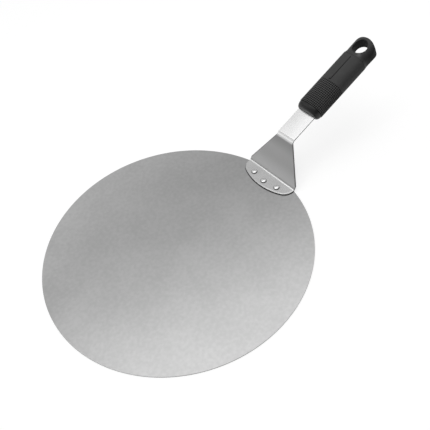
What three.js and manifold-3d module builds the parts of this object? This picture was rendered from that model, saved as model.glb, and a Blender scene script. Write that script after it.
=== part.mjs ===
// Round pizza peel: a flat round steel blade, a bent steel bracket riveted on it, and a moulded handle.
// Millimetres. +Z is up, +X points from the blade to the handle, and the origin is the middle of the
// blade's underside, so the peel rests on Z = 0.

import * as THREE from 'three';
import { LoftGeometry } from 'three/addons/geometries/LoftGeometry.js';
import { mergeVertices } from 'three/addons/utils/BufferGeometryUtils.js';
import Module from 'manifold-3d';

const wasm = await Module();
wasm.setup();

// Blade: one flat disc of sheet
const bladeDiameter = 305;
const bladeThickness = 1;

// Bracket: one strip of thicker sheet with a half-moon flange, a sloping web, a strip and a tang
const sheetThickness = 1.5;
const flangeWidth = 74;
const flangeDepth = 20.5;
const flangeSideLength = 1.7;
const flangeCornerRadius = 14;
const footBendRadius = 2;
const webLength = 47;
const webSideLength = 3.8;
const webAngle = THREE.MathUtils.degToRad(58.6);
const neckBendRadius = 8;
const stripWidth = 25;
const stripLength = 34;
const stripAngle = THREE.MathUtils.degToRad(17.7);

// Tang: the end of the strip inside the handle, held by plastic that fills its two holes. It stops
// short of the sleeve's rear end.
const tangWidth = 16;
const tangEndDistance = 9.8;
const tangEndRadius = 5;
const anchorHoleDiameter = 8;
const anchorShares = [0.42, 0.78];

// Rivets: domed heads on the flange, tails countersunk flush with the blade's underside
const rivetHeadDiameter = 7;
const rivetHeadHeight = 1.7;
const rivetShankDiameter = 3.2;
const rivetTailDiameter = 4.6;
const rivetTailDepth = 0.6;
const rivetSpacing = 19.1;
const rivetEdgeDistance = 7.3;
const rivetNames = ['rivet_right', 'rivet_middle', 'rivet_left'];

// Handle core: a nose, a slimmer body under the sleeve, and a tail with a hanging hole. The handle's
// axis lies a little above the tang's middle plane.
const handleRise = 0.3;
const noseLength = 7.1;
const noseRoundLength = 6.5;
const noseFaceWidth = 25.6;
const noseFaceHeight = 8.4;
const noseWidth = 31.1;
const noseHeight = 23.2;
const tailNeckWidth = 30.4;
const tailNeckLength = 5;
const tailLength = 30;
const tailWidth = 30.8;
const tailDrop = 2.4;
const tailTopHeight = 12.4;
const tailBottomHeight = 10;
const tailEdgeInset = 3.6;
const holeWidth = 17.6;
const holeFrontWall = 4.3;
const holeEndWall = 6.4;
const holeDraft = THREE.MathUtils.degToRad(4);
const holeWaistDepth = 13.1;
const holeFlare = THREE.MathUtils.degToRad(40);

// Grip sleeve: a soft shell round the core
const gripLength = 75.5;
const gripFrontWidth = 32.3;
const gripFrontHeight = 23.8;
const gripRearWidth = 31.9;
const gripRearHeight = 24.4;
const gripWall = 2;
const gripEdgeRadius = 1;
const grooveWidth = 1.2;
const grooveDepth = 0.6;
const grooveStartShare = 0.49;
const grooveEndShare = 0.98;

// Clearances and working values
const seatGap = 0.3;
const rivetGap = 0.2;
const cutOverrun = 3;
const edgeLift = 0.2;
const sectionPower = 2.5;
const sectionPoints = 40;
const discSegments = 160;
const rivetSegments = 24;
const bendSegments = 10;
const outlineSegments = 24;
const domeSteps = 6;
const noseSteps = 5;
const neckSteps = 3;
const edgeSteps = 6;
const gripEdgeSteps = 3;

// Turns a closed three.js geometry into a solid that can be joined and cut
function solidFrom(geometry) {
  const bare = new THREE.BufferGeometry();
  bare.setAttribute('position', geometry.attributes.position);
  bare.setIndex(geometry.index);
  const merged = mergeVertices(bare);
  return new wasm.Manifold(new wasm.Mesh({
    numProp: 3,
    vertProperties: new Float32Array(merged.attributes.position.array),
    triVerts: new Uint32Array(merged.index.array),
  }));
}

// Turns a solid back into a three.js geometry
function geometryFrom(solid) {
  const mesh = solid.getMesh();
  const geometry = new THREE.BufferGeometry();
  geometry.setAttribute('position', new THREE.BufferAttribute(mesh.vertProperties, mesh.numProp));
  geometry.setIndex(new THREE.BufferAttribute(mesh.triVerts, 1));
  geometry.computeVertexNormals();
  return geometry;
}

// Extrudes a shape drawn in X and Y along Z, from low to high
function prismAlongZ(shape, low, high, curveSegments) {
  const depth = high - low;
  const geometry = new THREE.ExtrudeGeometry(shape, { depth, bevelEnabled: false, curveSegments });
  geometry.translate(0, 0, low);
  return geometry;
}

// Extrudes a shape drawn in X and Z along Y, evenly to both sides of the middle plane
function prismAcross(shape, width, curveSegments) {
  const geometry = new THREE.ExtrudeGeometry(shape, { depth: width, bevelEnabled: false, curveSegments });
  geometry.rotateX(Math.PI / 2);
  geometry.translate(0, width / 2, 0);
  return geometry;
}

// Spins a profile of radius and height points round Z
function turned(profile, segments) {
  const geometry = new THREE.LatheGeometry(profile, segments);
  geometry.rotateX(Math.PI / 2);
  return geometry;
}

// The flange's front edge is one wide arc that meets a rounded corner on each side
const bladeRadius = bladeDiameter / 2;
const flangeHalfWidth = flangeWidth / 2;
const stripHalfWidth = stripWidth / 2;
const cornerLimitShare = 0.85;
const roundedDepth = flangeDepth - flangeSideLength;
const cornerRadius = Math.min(flangeCornerRadius, cornerLimitShare * roundedDepth);
const cornerOffset = flangeHalfWidth - cornerRadius;
const frontArcRadius = (roundedDepth ** 2 + cornerOffset ** 2 - cornerRadius ** 2)
  / (2 * (roundedDepth - cornerRadius));

// The bend line is the chord of the blade whose ends touch the rim
const bendLineX = Math.sqrt(bladeRadius ** 2 - flangeHalfWidth ** 2);
const frontArcCentreX = bendLineX - flangeDepth + frontArcRadius;
const flangeTop = bladeThickness + sheetThickness;

// Points along the sheet's top surface, in X and Z, from the foot bend to the end of the tang
const webDirection = new THREE.Vector2(Math.cos(webAngle), Math.sin(webAngle));
const stripDirection = new THREE.Vector2(Math.cos(stripAngle), Math.sin(stripAngle));
const webBelow = new THREE.Vector2(webDirection.y, -webDirection.x);
const stripBelow = new THREE.Vector2(stripDirection.y, -stripDirection.x);
const footStart = new THREE.Vector2(bendLineX - footBendRadius * Math.tan(webAngle / 2), flangeTop);
const footCentre = new THREE.Vector2(footStart.x, flangeTop + footBendRadius);
const webStart = footCentre.clone().addScaledVector(webBelow, footBendRadius);
const webEnd = webStart.clone().addScaledVector(webDirection, webLength);
const neckCentre = webEnd.clone().addScaledVector(webBelow, neckBendRadius);
const stripStart = neckCentre.clone().addScaledVector(stripBelow, -neckBendRadius);
const stripEnd = stripStart.clone().addScaledVector(stripDirection, stripLength);

// Places along the handle, from the nose: the sleeve, the tang's end, the tail and its hole
const gripStart = noseLength + seatGap;
const gripEnd = gripStart + gripLength;
const tangLength = gripEnd - tangEndDistance;
const tangEnd = stripEnd.clone().addScaledVector(stripDirection, tangLength);
const tailStart = gripEnd + seatGap;
const handleLength = tailStart + tailLength;
const holeLength = tailLength - holeFrontWall - holeEndWall;
const holeCentre = tailStart + holeFrontWall + holeLength / 2;

// A frame tilted up from level by an angle: X runs along the sheet, Y across it and Z square to it
function tiltedGroup(origin, angle) {
  const group = new THREE.Group();
  group.position.set(origin.x, 0, origin.y);
  group.rotation.y = -angle;
  group.updateMatrix();
  return group;
}

// The web's frame starts on the sheet's top at the foot bend. The handle's frame starts on the sheet's
// middle plane where the strip meets the nose.
const handleOrigin = stripEnd.clone().addScaledVector(stripBelow, sheetThickness / 2);
const webMatrix = tiltedGroup(webStart, webAngle).matrix;
const handleGroup = tiltedGroup(handleOrigin, stripAngle);

// The bent sheet seen from the side
function sheetProfile() {
  const inner = footBendRadius;
  const outer = footBendRadius + sheetThickness;
  const neckInner = neckBendRadius - sheetThickness;
  const down = -Math.PI / 2;
  const up = Math.PI / 2;
  const endBelow = tangEnd.clone().addScaledVector(stripBelow, sheetThickness);
  const shape = new THREE.Shape();
  shape.moveTo(bendLineX - flangeDepth - cutOverrun, flangeTop);
  shape.lineTo(bendLineX - flangeDepth - cutOverrun, bladeThickness);
  shape.lineTo(footStart.x, bladeThickness);
  shape.absarc(footCentre.x, footCentre.y, outer, down, down + webAngle, false);
  shape.absarc(neckCentre.x, neckCentre.y, neckInner, up + webAngle, up + stripAngle, true);
  shape.lineTo(endBelow.x, endBelow.y);
  shape.lineTo(tangEnd.x, tangEnd.y);
  shape.absarc(neckCentre.x, neckCentre.y, neckBendRadius, up + stripAngle, up + webAngle, false);
  shape.absarc(footCentre.x, footCentre.y, inner, down + webAngle, down, true);
  shape.closePath();
  return shape;
}

// The flange and the foot bend seen from above
function flangeOutline() {
  const cornerX = bendLineX - flangeSideLength;
  const meet = Math.atan2(cornerOffset, frontArcCentreX - cornerX);
  const shape = new THREE.Shape();
  shape.moveTo(webStart.x + sheetThickness, flangeHalfWidth);
  shape.lineTo(cornerX, flangeHalfWidth);
  shape.absarc(cornerX, cornerOffset, cornerRadius, Math.PI / 2, Math.PI - meet, false);
  shape.absarc(frontArcCentreX, 0, frontArcRadius, Math.PI - meet, Math.PI + meet, false);
  shape.absarc(cornerX, -cornerOffset, cornerRadius, Math.PI + meet, -Math.PI / 2, false);
  shape.lineTo(webStart.x + sheetThickness, -flangeHalfWidth);
  shape.closePath();
  return shape;
}

// The web and the neck bend in the web's frame: short straight sides, then a taper to the strip
function webOutline() {
  const shape = new THREE.Shape();
  shape.moveTo(-footBendRadius, -flangeHalfWidth);
  shape.lineTo(webSideLength, -flangeHalfWidth);
  shape.lineTo(webLength, -stripHalfWidth);
  shape.lineTo(webLength + neckBendRadius, -stripHalfWidth);
  shape.lineTo(webLength + neckBendRadius, stripHalfWidth);
  shape.lineTo(webLength, stripHalfWidth);
  shape.lineTo(webSideLength, flangeHalfWidth);
  shape.lineTo(-footBendRadius, flangeHalfWidth);
  shape.closePath();
  return shape;
}

// The strip and the tang in the handle's frame: the strip's shoulders stop at the nose
function tangOutline() {
  const half = tangWidth / 2;
  const round = Math.min(tangEndRadius, half);
  const shape = new THREE.Shape();
  shape.moveTo(-stripLength, -stripHalfWidth);
  shape.lineTo(-seatGap, -stripHalfWidth);
  shape.lineTo(-seatGap, -half);
  shape.absarc(tangLength - round, round - half, round, -Math.PI / 2, 0, false);
  shape.absarc(tangLength - round, half - round, round, 0, Math.PI / 2, false);
  shape.lineTo(-seatGap, half);
  shape.lineTo(-seatGap, stripHalfWidth);
  shape.lineTo(-stripLength, stripHalfWidth);
  shape.closePath();
  return shape;
}

// Where the rivets stand: on an arc that runs beside the flange's front edge
function rivetPlaces() {
  const arc = frontArcRadius - rivetEdgeDistance;
  return rivetNames.map((name, index) => {
    const angle = (index - 1) * rivetSpacing / arc;
    return { name, x: frontArcCentreX - arc * Math.cos(angle), y: arc * Math.sin(angle) };
  });
}

// A straight rod, square to the tang, through the middle of each anchor hole
function anchorRods(radius, halfHeight) {
  return anchorShares.map((share) => {
    const rod = new THREE.CylinderGeometry(radius, radius, 2 * halfHeight, rivetSegments);
    rod.rotateX(Math.PI / 2);
    rod.translate(share * tangLength, 0, 0);
    return rod;
  });
}

// Blade: a disc with three holes that widen towards the underside for the rivets' tails
function blade() {
  const disc = new THREE.CylinderGeometry(bladeRadius, bladeRadius, bladeThickness, discSegments);
  disc.rotateX(Math.PI / 2);
  disc.translate(0, 0, bladeThickness / 2);
  let solid = solidFrom(disc);
  const shank = rivetShankDiameter / 2 + rivetGap;
  const tail = rivetTailDiameter / 2 + rivetGap;
  const slope = (rivetTailDiameter - rivetShankDiameter) / 2 / rivetTailDepth;
  const cutter = turned([
    new THREE.Vector2(0, -cutOverrun),
    new THREE.Vector2(tail + slope * cutOverrun, -cutOverrun),
    new THREE.Vector2(shank, rivetTailDepth),
    new THREE.Vector2(shank, bladeThickness + cutOverrun),
    new THREE.Vector2(0, bladeThickness + cutOverrun),
  ], rivetSegments);
  for (const place of rivetPlaces()) {
    solid = solid.subtract(solidFrom(cutter.clone().translate(place.x, place.y, 0)));
  }
  return geometryFrom(solid);
}

// Bracket: the bent sheet cut to its outline, with rivet holes and anchor holes
function bracket() {
  const sheet = solidFrom(prismAcross(sheetProfile(), flangeWidth + 2 * cutOverrun, bendSegments));
  const bendReach = neckBendRadius + sheetThickness;
  const flange = solidFrom(prismAlongZ(flangeOutline(), 0, flangeTop + footBendRadius, outlineSegments));
  const webPrism = prismAlongZ(webOutline(), -bendReach, sheetThickness, outlineSegments);
  const web = solidFrom(webPrism.applyMatrix4(webMatrix));
  const tangPrism = prismAlongZ(tangOutline(), -bendReach, bendReach, outlineSegments);
  const tang = solidFrom(tangPrism.applyMatrix4(handleGroup.matrix));
  let solid = sheet.intersect(flange.add(web).add(tang));
  for (const place of rivetPlaces()) {
    const radius = rivetShankDiameter / 2 + rivetGap;
    const hole = new THREE.CylinderGeometry(radius, radius, flangeTop + 2 * cutOverrun, rivetSegments);
    hole.rotateX(Math.PI / 2);
    solid = solid.subtract(solidFrom(hole.translate(place.x, place.y, flangeTop / 2)));
  }
  for (const rod of anchorRods(anchorHoleDiameter / 2, sheetThickness + cutOverrun)) {
    solid = solid.subtract(solidFrom(rod.applyMatrix4(handleGroup.matrix)));
  }
  return geometryFrom(solid);
}

// Rivet: a flush countersunk tail, a shank and a low domed head
function rivet() {
  const headRadius = rivetHeadDiameter / 2;
  const profile = [
    new THREE.Vector2(0, 0),
    new THREE.Vector2(rivetTailDiameter / 2, 0),
    new THREE.Vector2(rivetShankDiameter / 2, rivetTailDepth),
    new THREE.Vector2(rivetShankDiameter / 2, flangeTop),
  ];
  for (let step = 0; step < domeSteps; step += 1) {
    const angle = (step / domeSteps) * Math.PI / 2;
    const height = flangeTop + rivetHeadHeight * Math.sin(angle);
    profile.push(new THREE.Vector2(headRadius * Math.cos(angle), height));
  }
  profile.push(new THREE.Vector2(0, flangeTop + rivetHeadHeight));
  return geometryFrom(solidFrom(turned(profile, rivetSegments)));
}

// One cross-section of the handle, square to its X axis: an oval drawn out towards a box. Heights are
// from the handle's axis, and the section is widest at the drop below it.
function section(along, width, topHeight, bottomHeight = topHeight, drop = 0) {
  const points = [];
  for (let index = 0; index < sectionPoints; index += 1) {
    const angle = (index / sectionPoints) * 2 * Math.PI;
    const side = Math.sign(Math.cos(angle)) * Math.abs(Math.cos(angle)) ** (2 / sectionPower);
    const rise = Math.sign(Math.sin(angle)) * Math.abs(Math.sin(angle)) ** (2 / sectionPower);
    const height = rise > 0 ? topHeight + drop : bottomHeight - drop;
    points.push(new THREE.Vector3(along, side * width / 2, handleRise - drop + rise * height));
  }
  return points;
}

function loft(sections) {
  return solidFrom(new LoftGeometry(sections, { capStart: true, capEnd: true }));
}

// The sleeve's width and height change evenly from its front to its rear
function gripSection(along, inset) {
  const share = (along - gripStart) / gripLength;
  const width = THREE.MathUtils.lerp(gripFrontWidth, gripRearWidth, share);
  const height = THREE.MathUtils.lerp(gripFrontHeight, gripRearHeight, share);
  return section(along, width - 2 * inset, height / 2 - inset);
}

// The nose: a flat face that rounds out to the nose's full size
function noseSections() {
  const sections = [];
  for (let step = 0; step <= noseSteps; step += 1) {
    const angle = (step / noseSteps) * Math.PI / 2;
    const width = THREE.MathUtils.lerp(noseFaceWidth, noseWidth, Math.sin(angle));
    const height = THREE.MathUtils.lerp(noseFaceHeight, noseHeight, Math.sin(angle));
    sections.push(section(noseRoundLength * (1 - Math.cos(angle)), width, height / 2));
  }
  sections.push(section(noseLength, noseWidth, noseHeight / 2));
  return sections;
}

// The tail: flush with the sleeve at its front, it draws in to a neck and widens again round the hole
function tailSections() {
  const sections = [];
  for (let step = 0; step <= neckSteps; step += 1) {
    const share = step / neckSteps;
    const blend = THREE.MathUtils.smoothstep(share, 0, 1);
    const width = THREE.MathUtils.lerp(gripRearWidth, tailNeckWidth, blend);
    const top = THREE.MathUtils.lerp(gripRearHeight / 2, tailTopHeight, blend);
    const bottom = THREE.MathUtils.lerp(gripRearHeight / 2, tailBottomHeight, blend);
    sections.push(section(tailStart + share * tailNeckLength, width, top, bottom, blend * tailDrop));
  }
  for (const along of [holeCentre, handleLength + cutOverrun]) {
    sections.push(section(along, tailWidth, tailTopHeight, tailBottomHeight, tailDrop));
  }
  return sections;
}

// What trims the tail's end to a half round. Its wall stands square up to the tail's widest level and
// draws in above it; a plain block keeps the rest of the core.
function tailTrim() {
  const endRadius = tailWidth / 2;
  const endCentre = handleLength - endRadius;
  const neckEnd = tailStart + tailNeckLength;
  const shape = new THREE.Shape();
  shape.moveTo(neckEnd, -endRadius);
  shape.lineTo(endCentre, -endRadius);
  shape.absarc(endCentre, 0, endRadius, -Math.PI / 2, Math.PI / 2, false);
  shape.lineTo(neckEnd, endRadius);
  shape.closePath();
  const end = new THREE.ExtrudeGeometry(shape, {
    depth: gripRearHeight,
    bevelThickness: tailTopHeight + tailDrop,
    bevelSize: tailEdgeInset,
    bevelOffset: -tailEdgeInset,
    bevelSegments: edgeSteps,
    curveSegments: outlineSegments,
  });
  end.translate(0, 0, handleRise - tailDrop - gripRearHeight + edgeLift);
  const block = new THREE.BoxGeometry(holeCentre + cutOverrun, 2 * gripRearWidth, 2 * gripRearHeight);
  block.translate((holeCentre - cutOverrun) / 2, 0, 0);
  return solidFrom(end).add(solidFrom(block));
}

// The hanging hole narrows a little from the top to its waist, and below it flares out widely
function hangingHole() {
  const top = handleRise + tailTopHeight;
  const waistHeight = top - holeWaistDepth;
  const waist = holeWidth / 2 - holeWaistDepth * Math.tan(holeDraft);
  const above = waistHeight + gripRearHeight;
  const below = waistHeight - gripRearHeight;
  const cutter = turned([
    new THREE.Vector2(0, below),
    new THREE.Vector2(waist + gripRearHeight * Math.tan(holeFlare), below),
    new THREE.Vector2(waist, waistHeight),
    new THREE.Vector2(waist + gripRearHeight * Math.tan(holeDraft), above),
    new THREE.Vector2(0, above),
  ], sectionPoints);
  cutter.scale(holeLength / holeWidth, 1, 1);
  cutter.translate(holeCentre, 0, 0);
  return cutter;
}

// Handle core: one moulding, open at the nose for the tang, with posts through the tang's holes
function handleCore() {
  const bodyWall = gripWall + seatGap;
  let solid = loft([
    ...noseSections(),
    gripSection(noseLength, bodyWall),
    gripSection(tailStart, bodyWall),
    ...tailSections(),
  ]);
  const slotLength = tangLength + seatGap + cutOverrun;
  const slotHeight = sheetThickness + 2 * seatGap;
  const slot = new THREE.BoxGeometry(slotLength, tangWidth + 2 * seatGap, slotHeight);
  slot.translate(slotLength / 2 - cutOverrun, 0, 0);
  solid = solid.subtract(solidFrom(slot));
  for (const rod of anchorRods(anchorHoleDiameter / 2 - seatGap, slotHeight)) {
    solid = solid.add(solidFrom(rod));
  }
  return geometryFrom(solid.intersect(tailTrim()).subtract(solidFrom(hangingHole())));
}

// Grip sleeve: a shell with rounded ends and a fine groove along its top
function gripSleeve() {
  const outer = [];
  for (let step = 0; step <= gripEdgeSteps; step += 1) {
    const angle = (step / gripEdgeSteps) * Math.PI / 2;
    const inset = gripEdgeRadius * (1 - Math.sin(angle));
    const inward = gripEdgeRadius * (1 - Math.cos(angle));
    outer.splice(step, 0, gripSection(gripStart + inward, inset), gripSection(gripEnd - inward, inset));
  }
  const bore = [
    gripSection(gripStart - cutOverrun, gripWall),
    gripSection(gripEnd + cutOverrun, gripWall),
  ];
  const grooveFrom = gripStart + grooveStartShare * gripLength;
  const grooveTo = gripStart + grooveEndShare * gripLength;
  const topAt = (share) => THREE.MathUtils.lerp(gripFrontHeight, gripRearHeight, share) / 2;
  const grooveShape = new THREE.Shape([
    new THREE.Vector2(grooveFrom, handleRise + topAt(grooveStartShare) - grooveDepth),
    new THREE.Vector2(grooveTo, handleRise + topAt(grooveEndShare) - grooveDepth),
    new THREE.Vector2(grooveTo, gripRearHeight),
    new THREE.Vector2(grooveFrom, gripRearHeight),
  ]);
  const groove = solidFrom(prismAcross(grooveShape, grooveWidth, bendSegments));
  return geometryFrom(loft(outer).subtract(loft(bore)).subtract(groove));
}

function named(name, geometry, color, roughness, metalness) {
  const mesh = new THREE.Mesh(geometry, new THREE.MeshStandardMaterial({ color, roughness, metalness }));
  mesh.name = name;
  return mesh;
}

const steelColor = 0xb4b5b6;
const bracketColor = 0xd9d9da;
const rivetColor = 0xd1d1d2;
const coreColor = 0x2a2a2c;
const gripColor = 0x2e2e30;

const peel = new THREE.Group();
peel.add(named('blade', blade(), steelColor, 0.38, 1));
peel.add(named('bracket', bracket(), bracketColor, 0.32, 1));
for (const place of rivetPlaces()) {
  const mesh = named(place.name, rivet(), rivetColor, 0.25, 1);
  mesh.position.set(place.x, place.y, 0);
  peel.add(mesh);
}
handleGroup.add(named('handle_core', handleCore(), coreColor, 0.4, 0));
handleGroup.add(named('grip_sleeve', gripSleeve(), gripColor, 0.7, 0));
peel.add(handleGroup);

export default peel;
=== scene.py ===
# %% [markdown]
# A round pizza peel, dressed for its picture.
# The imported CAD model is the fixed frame: it says where every piece is, and this script gives the
# pieces their fine shape and their finish. Everything here is in metres, and a size in millimetres is
# multiplied by MM, so that the numbers read like those on a workshop drawing.

# %% Load the frame
import math

import bmesh
import bpy
from mathutils import Matrix, Vector


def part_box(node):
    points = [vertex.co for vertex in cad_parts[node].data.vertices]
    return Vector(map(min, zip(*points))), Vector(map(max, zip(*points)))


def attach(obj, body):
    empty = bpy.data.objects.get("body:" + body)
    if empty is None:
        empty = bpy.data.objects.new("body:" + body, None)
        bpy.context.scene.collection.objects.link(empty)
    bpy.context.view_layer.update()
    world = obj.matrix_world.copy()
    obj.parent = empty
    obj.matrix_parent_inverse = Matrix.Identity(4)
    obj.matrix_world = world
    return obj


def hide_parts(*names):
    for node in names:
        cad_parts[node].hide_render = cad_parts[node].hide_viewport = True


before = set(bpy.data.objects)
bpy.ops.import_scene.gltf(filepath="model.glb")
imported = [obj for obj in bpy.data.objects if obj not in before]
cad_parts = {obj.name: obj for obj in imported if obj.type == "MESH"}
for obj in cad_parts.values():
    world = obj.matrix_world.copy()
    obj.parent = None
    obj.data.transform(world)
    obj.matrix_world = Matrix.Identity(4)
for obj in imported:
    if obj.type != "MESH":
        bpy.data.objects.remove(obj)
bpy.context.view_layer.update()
MM = 0.001
print("pieces in the frame:", ", ".join(sorted(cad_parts)))

# %% [markdown]
# The camera comes first, because it decides how large a detail has to be to show.
# Its place was found by matching the blade's rim, the bracket's corners and the handle's outline in
# the picture. It is written the way a photographer would say it: the side and height that the camera
# looks from, how far it is rolled, how far away it stands, and how far it slid sideways and up. Only
# its lens and its film are in plain millimetres, because Blender keeps these two that way.

# %% Camera
frame_pixels = 430
focal_pixels = 663
film_width = 36
nearest_seen = 10 * MM
camera_azimuth = math.radians(-121.75)
camera_elevation = math.radians(50.32)
camera_roll = math.radians(-12.14)
camera_distance = 736.8 * MM
camera_slide_right = 43.2 * MM
camera_slide_up = 38.0 * MM
blade_thickness = 1.0 * MM


def camera_axes():
    """The camera's right, up and back directions, as columns."""
    level = math.cos(camera_elevation)
    back = Vector((
        math.cos(camera_azimuth) * level,
        math.sin(camera_azimuth) * level,
        math.sin(camera_elevation),
    ))
    side = Vector((0, 0, 1)).cross(back).normalized()
    rise = back.cross(side)
    right = math.cos(camera_roll) * side + math.sin(camera_roll) * rise
    up = math.cos(camera_roll) * rise - math.sin(camera_roll) * side
    return right, up, back


def make_camera():
    """Places the camera, which looks at the middle of the blade's top face before it slides."""
    data = bpy.data.cameras.new("photo_camera")
    data.sensor_width = film_width
    data.lens = film_width * focal_pixels / frame_pixels
    data.clip_start = nearest_seen
    camera = bpy.data.objects.new("photo_camera", data)
    right, up, back = camera_axes()
    turn = Matrix((right, up, back)).transposed().to_4x4()
    blade_middle = Vector((0, 0, blade_thickness))
    place = blade_middle + camera_distance * back + camera_slide_right * right + camera_slide_up * up
    camera.matrix_world = Matrix.Translation(place) @ turn
    bpy.context.scene.collection.objects.link(camera)
    bpy.context.scene.camera = camera
    return camera


photo_camera = make_camera()
print("lens in millimetres:", round(photo_camera.data.lens, 1))

# %% [markdown]
# A material in Blender is a small graph of nodes. Written out link by link it is hard to read, so one
# class wraps an output socket and gives it Python's arithmetic: grain * 0.1 + 0.5 adds two Math nodes
# and joins them up. Numbers alone are worked out in Python and add no node. Colours are mixed by a Mix
# node, because a Math node would turn them grey.

# %% Wires
class Wire:
    """One output socket, with the arithmetic of Math nodes."""

    def __init__(self, shader, socket):
        self.shader = shader
        self.socket = socket

    def __add__(self, other):
        return self.shader.math("ADD", self, other)

    def __radd__(self, other):
        return self.shader.math("ADD", other, self)

    def __sub__(self, other):
        return self.shader.math("SUBTRACT", self, other)

    def __rsub__(self, other):
        return self.shader.math("SUBTRACT", other, self)

    def __mul__(self, other):
        return self.shader.math("MULTIPLY", self, other)

    def __rmul__(self, other):
        return self.shader.math("MULTIPLY", other, self)

    def __pow__(self, exponent):
        return self.shader.math("POWER", self, exponent)

    def __abs__(self):
        return self.shader.math("ABSOLUTE", self)

    def distance(self, point):
        """How far this place is from a point."""
        sockets = {0: self, 1: point}
        return self.shader.node("ShaderNodeVectorMath", {"operation": "DISTANCE"}, sockets, "Value")

    def ramp(self, low, high):
        """0 below low, 1 above high, and a smooth step between them."""
        sockets = {"Value": self, "From Min": low, "From Max": high}
        return self.shader.node("ShaderNodeMapRange", {"interpolation_type": "SMOOTHSTEP"}, sockets)

    def blend(self, first, second):
        """The first colour where this is 0 and the second where it is 1."""
        factor, first_colour, second_colour, result = 0, 6, 7, 2
        sockets = {factor: self, first_colour: first, second_colour: second}
        return self.shader.node("ShaderNodeMix", {"data_type": "RGBA"}, sockets, result)


print("a wire adds, subtracts, multiplies, measures, ramps and blends")

# %% [markdown]
# Every other node comes from one method, which takes the node's type, its settings and what goes into
# its sockets, be it a number, a colour or a wire. The short methods after it name what the finishes of
# a kitchen tool need most: where a point lies, how steep the surface is there, and noise of a given
# size. That size is in metres, because grain of the wrong size is the first thing that gives a model
# away.

# %% Node trees
class Shader:
    """A node tree that is being written."""

    def __init__(self, tree):
        self.tree = tree
        tree.nodes.clear()

    def node(self, kind, settings=None, sockets=None, output=0):
        """Adds a node, sets its settings and then its sockets, and returns one of its outputs."""
        node = self.tree.nodes.new(kind)
        for name, value in (settings or {}).items():
            setattr(node, name, value)
        for name, value in (sockets or {}).items():
            if isinstance(value, Wire):
                self.tree.links.new(value.socket, node.inputs[name])
            else:
                node.inputs[name].default_value = value
        return Wire(self, node.outputs[output])

    def math(self, operation, *values):
        """A Math node on numbers and wires."""
        return self.node("ShaderNodeMath", {"operation": operation}, dict(enumerate(values)))

    def place(self):
        """A point's place in its object, in metres."""
        return self.node("ShaderNodeTexCoord", output="Object")

    def part(self, vector, letter):
        """The X, Y or Z of a vector."""
        return self.node("ShaderNodeSeparateXYZ", None, {0: vector}, letter)

    def away(self, point):
        """The distance to a point, in metres."""
        return self.place().distance(point)

    def walls(self, low, high):
        """1 on walls, whose normal's Z is below low, and 0 on faces where it is above high."""
        normal = self.node("ShaderNodeNewGeometry", output="True Normal")
        return 1 - abs(self.part(normal, "Z")).ramp(low, high)

    def noise(self, size, detail=2, stretch=(1, 1, 1)):
        """Soft noise from 0 to 1 whose spots are about size across, drawn out by stretch."""
        scale = tuple(1 / (size * share) for share in stretch)
        vector = self.node("ShaderNodeVectorMath", {"operation": "MULTIPLY"}, {0: self.place(), 1: scale})
        return self.node("ShaderNodeTexNoise", None, {"Vector": vector, "Scale": 1, "Detail": detail})

    def bump(self, height, distance):
        """A Normal for a surface that rises by distance where height is 1."""
        return self.node("ShaderNodeBump", None, {"Height": height, "Distance": distance})

    def principled(self, **sockets):
        """Blender's all-round surface; a socket's name is written with _ for a space."""
        spaced = {name.replace("_", " "): value for name, value in sockets.items()}
        return self.node("ShaderNodeBsdfPrincipled", None, spaced)

    def end(self, kind, surface):
        """Joins the finished surface to the tree's output node."""
        output = self.tree.nodes.new(kind)
        self.tree.links.new(surface.socket, output.inputs["Surface"])


def finished_material(name, write):
    """A material whose surface is the shader that write returns."""
    material = bpy.data.materials.new(name)
    material.use_nodes = True
    shader = Shader(material.node_tree)
    shader.end("ShaderNodeOutputMaterial", write(shader))
    print(name, "has", len(material.node_tree.nodes), "nodes")
    return material


def grey(level):
    """An opaque grey, as a colour socket takes it."""
    return (level, level, level, 1)


print("half grey is", grey(0.5))

# %% [markdown]
# The flange is the half-moon that lies on the blade. Its front edge is one wide arc that meets a
# rounded corner on each side, and the bend behind it is the chord of the blade whose ends touch the
# rim. Both the bracket's shape and the blade's finish need this outline, so it comes before them.

# %% The flange's outline
blade_radius = 305 * MM / 2
sheet_thickness = 1.5 * MM
flange_half_width = 74 * MM / 2
flange_depth = 20.5 * MM
flange_side_length = 1.7 * MM
flange_corner_radius = 14 * MM
flange_top = blade_thickness + sheet_thickness
bend_line = math.sqrt(blade_radius ** 2 - flange_half_width ** 2)
corner_x = bend_line - flange_side_length
corner_y = flange_half_width - flange_corner_radius
round_depth = flange_depth - flange_side_length
front_arc_radius = (
    (round_depth ** 2 + corner_y ** 2 - flange_corner_radius ** 2)
    / (2 * (round_depth - flange_corner_radius))
)
front_arc_x = bend_line - flange_depth + front_arc_radius
front_arc_meet = math.atan2(corner_y, front_arc_x - corner_x)
print("the flange's front arc has a radius of", round(front_arc_radius / MM, 1), "mm")

# %% [markdown]
# The bracket starts as a flat blank: a half-moon flange, a tapering web, a narrow strip and a tang.
# Folding it is drawn here as what the press does: the line of the sheet's top face runs level, round the
# foot bend, up the web, round the wide neck bend and along the strip. Later each row of points across that
# line is as wide as the blank is there. The line comes before the finishes, because the marks on the
# bracket follow its folds.

# %% The bracket's folded line
foot_bend_radius = 2 * MM
web_length = 47 * MM
web_side_length = 3.8 * MM
web_angle = math.radians(58.6)
neck_bend_radius = 8 * MM
strip_half_width = 25 * MM / 2
strip_length = 34 * MM
strip_angle = math.radians(17.7)
seat_gap = 0.3 * MM
bend_rows = 14


def ahead(angle):
    """The way along the sheet where it rises at an angle, in X and Z."""
    return Vector((math.cos(angle), math.sin(angle)))


def below(angle):
    """The way square into the sheet from its top face, in X and Z."""
    return Vector((math.sin(angle), -math.cos(angle)))


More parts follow.
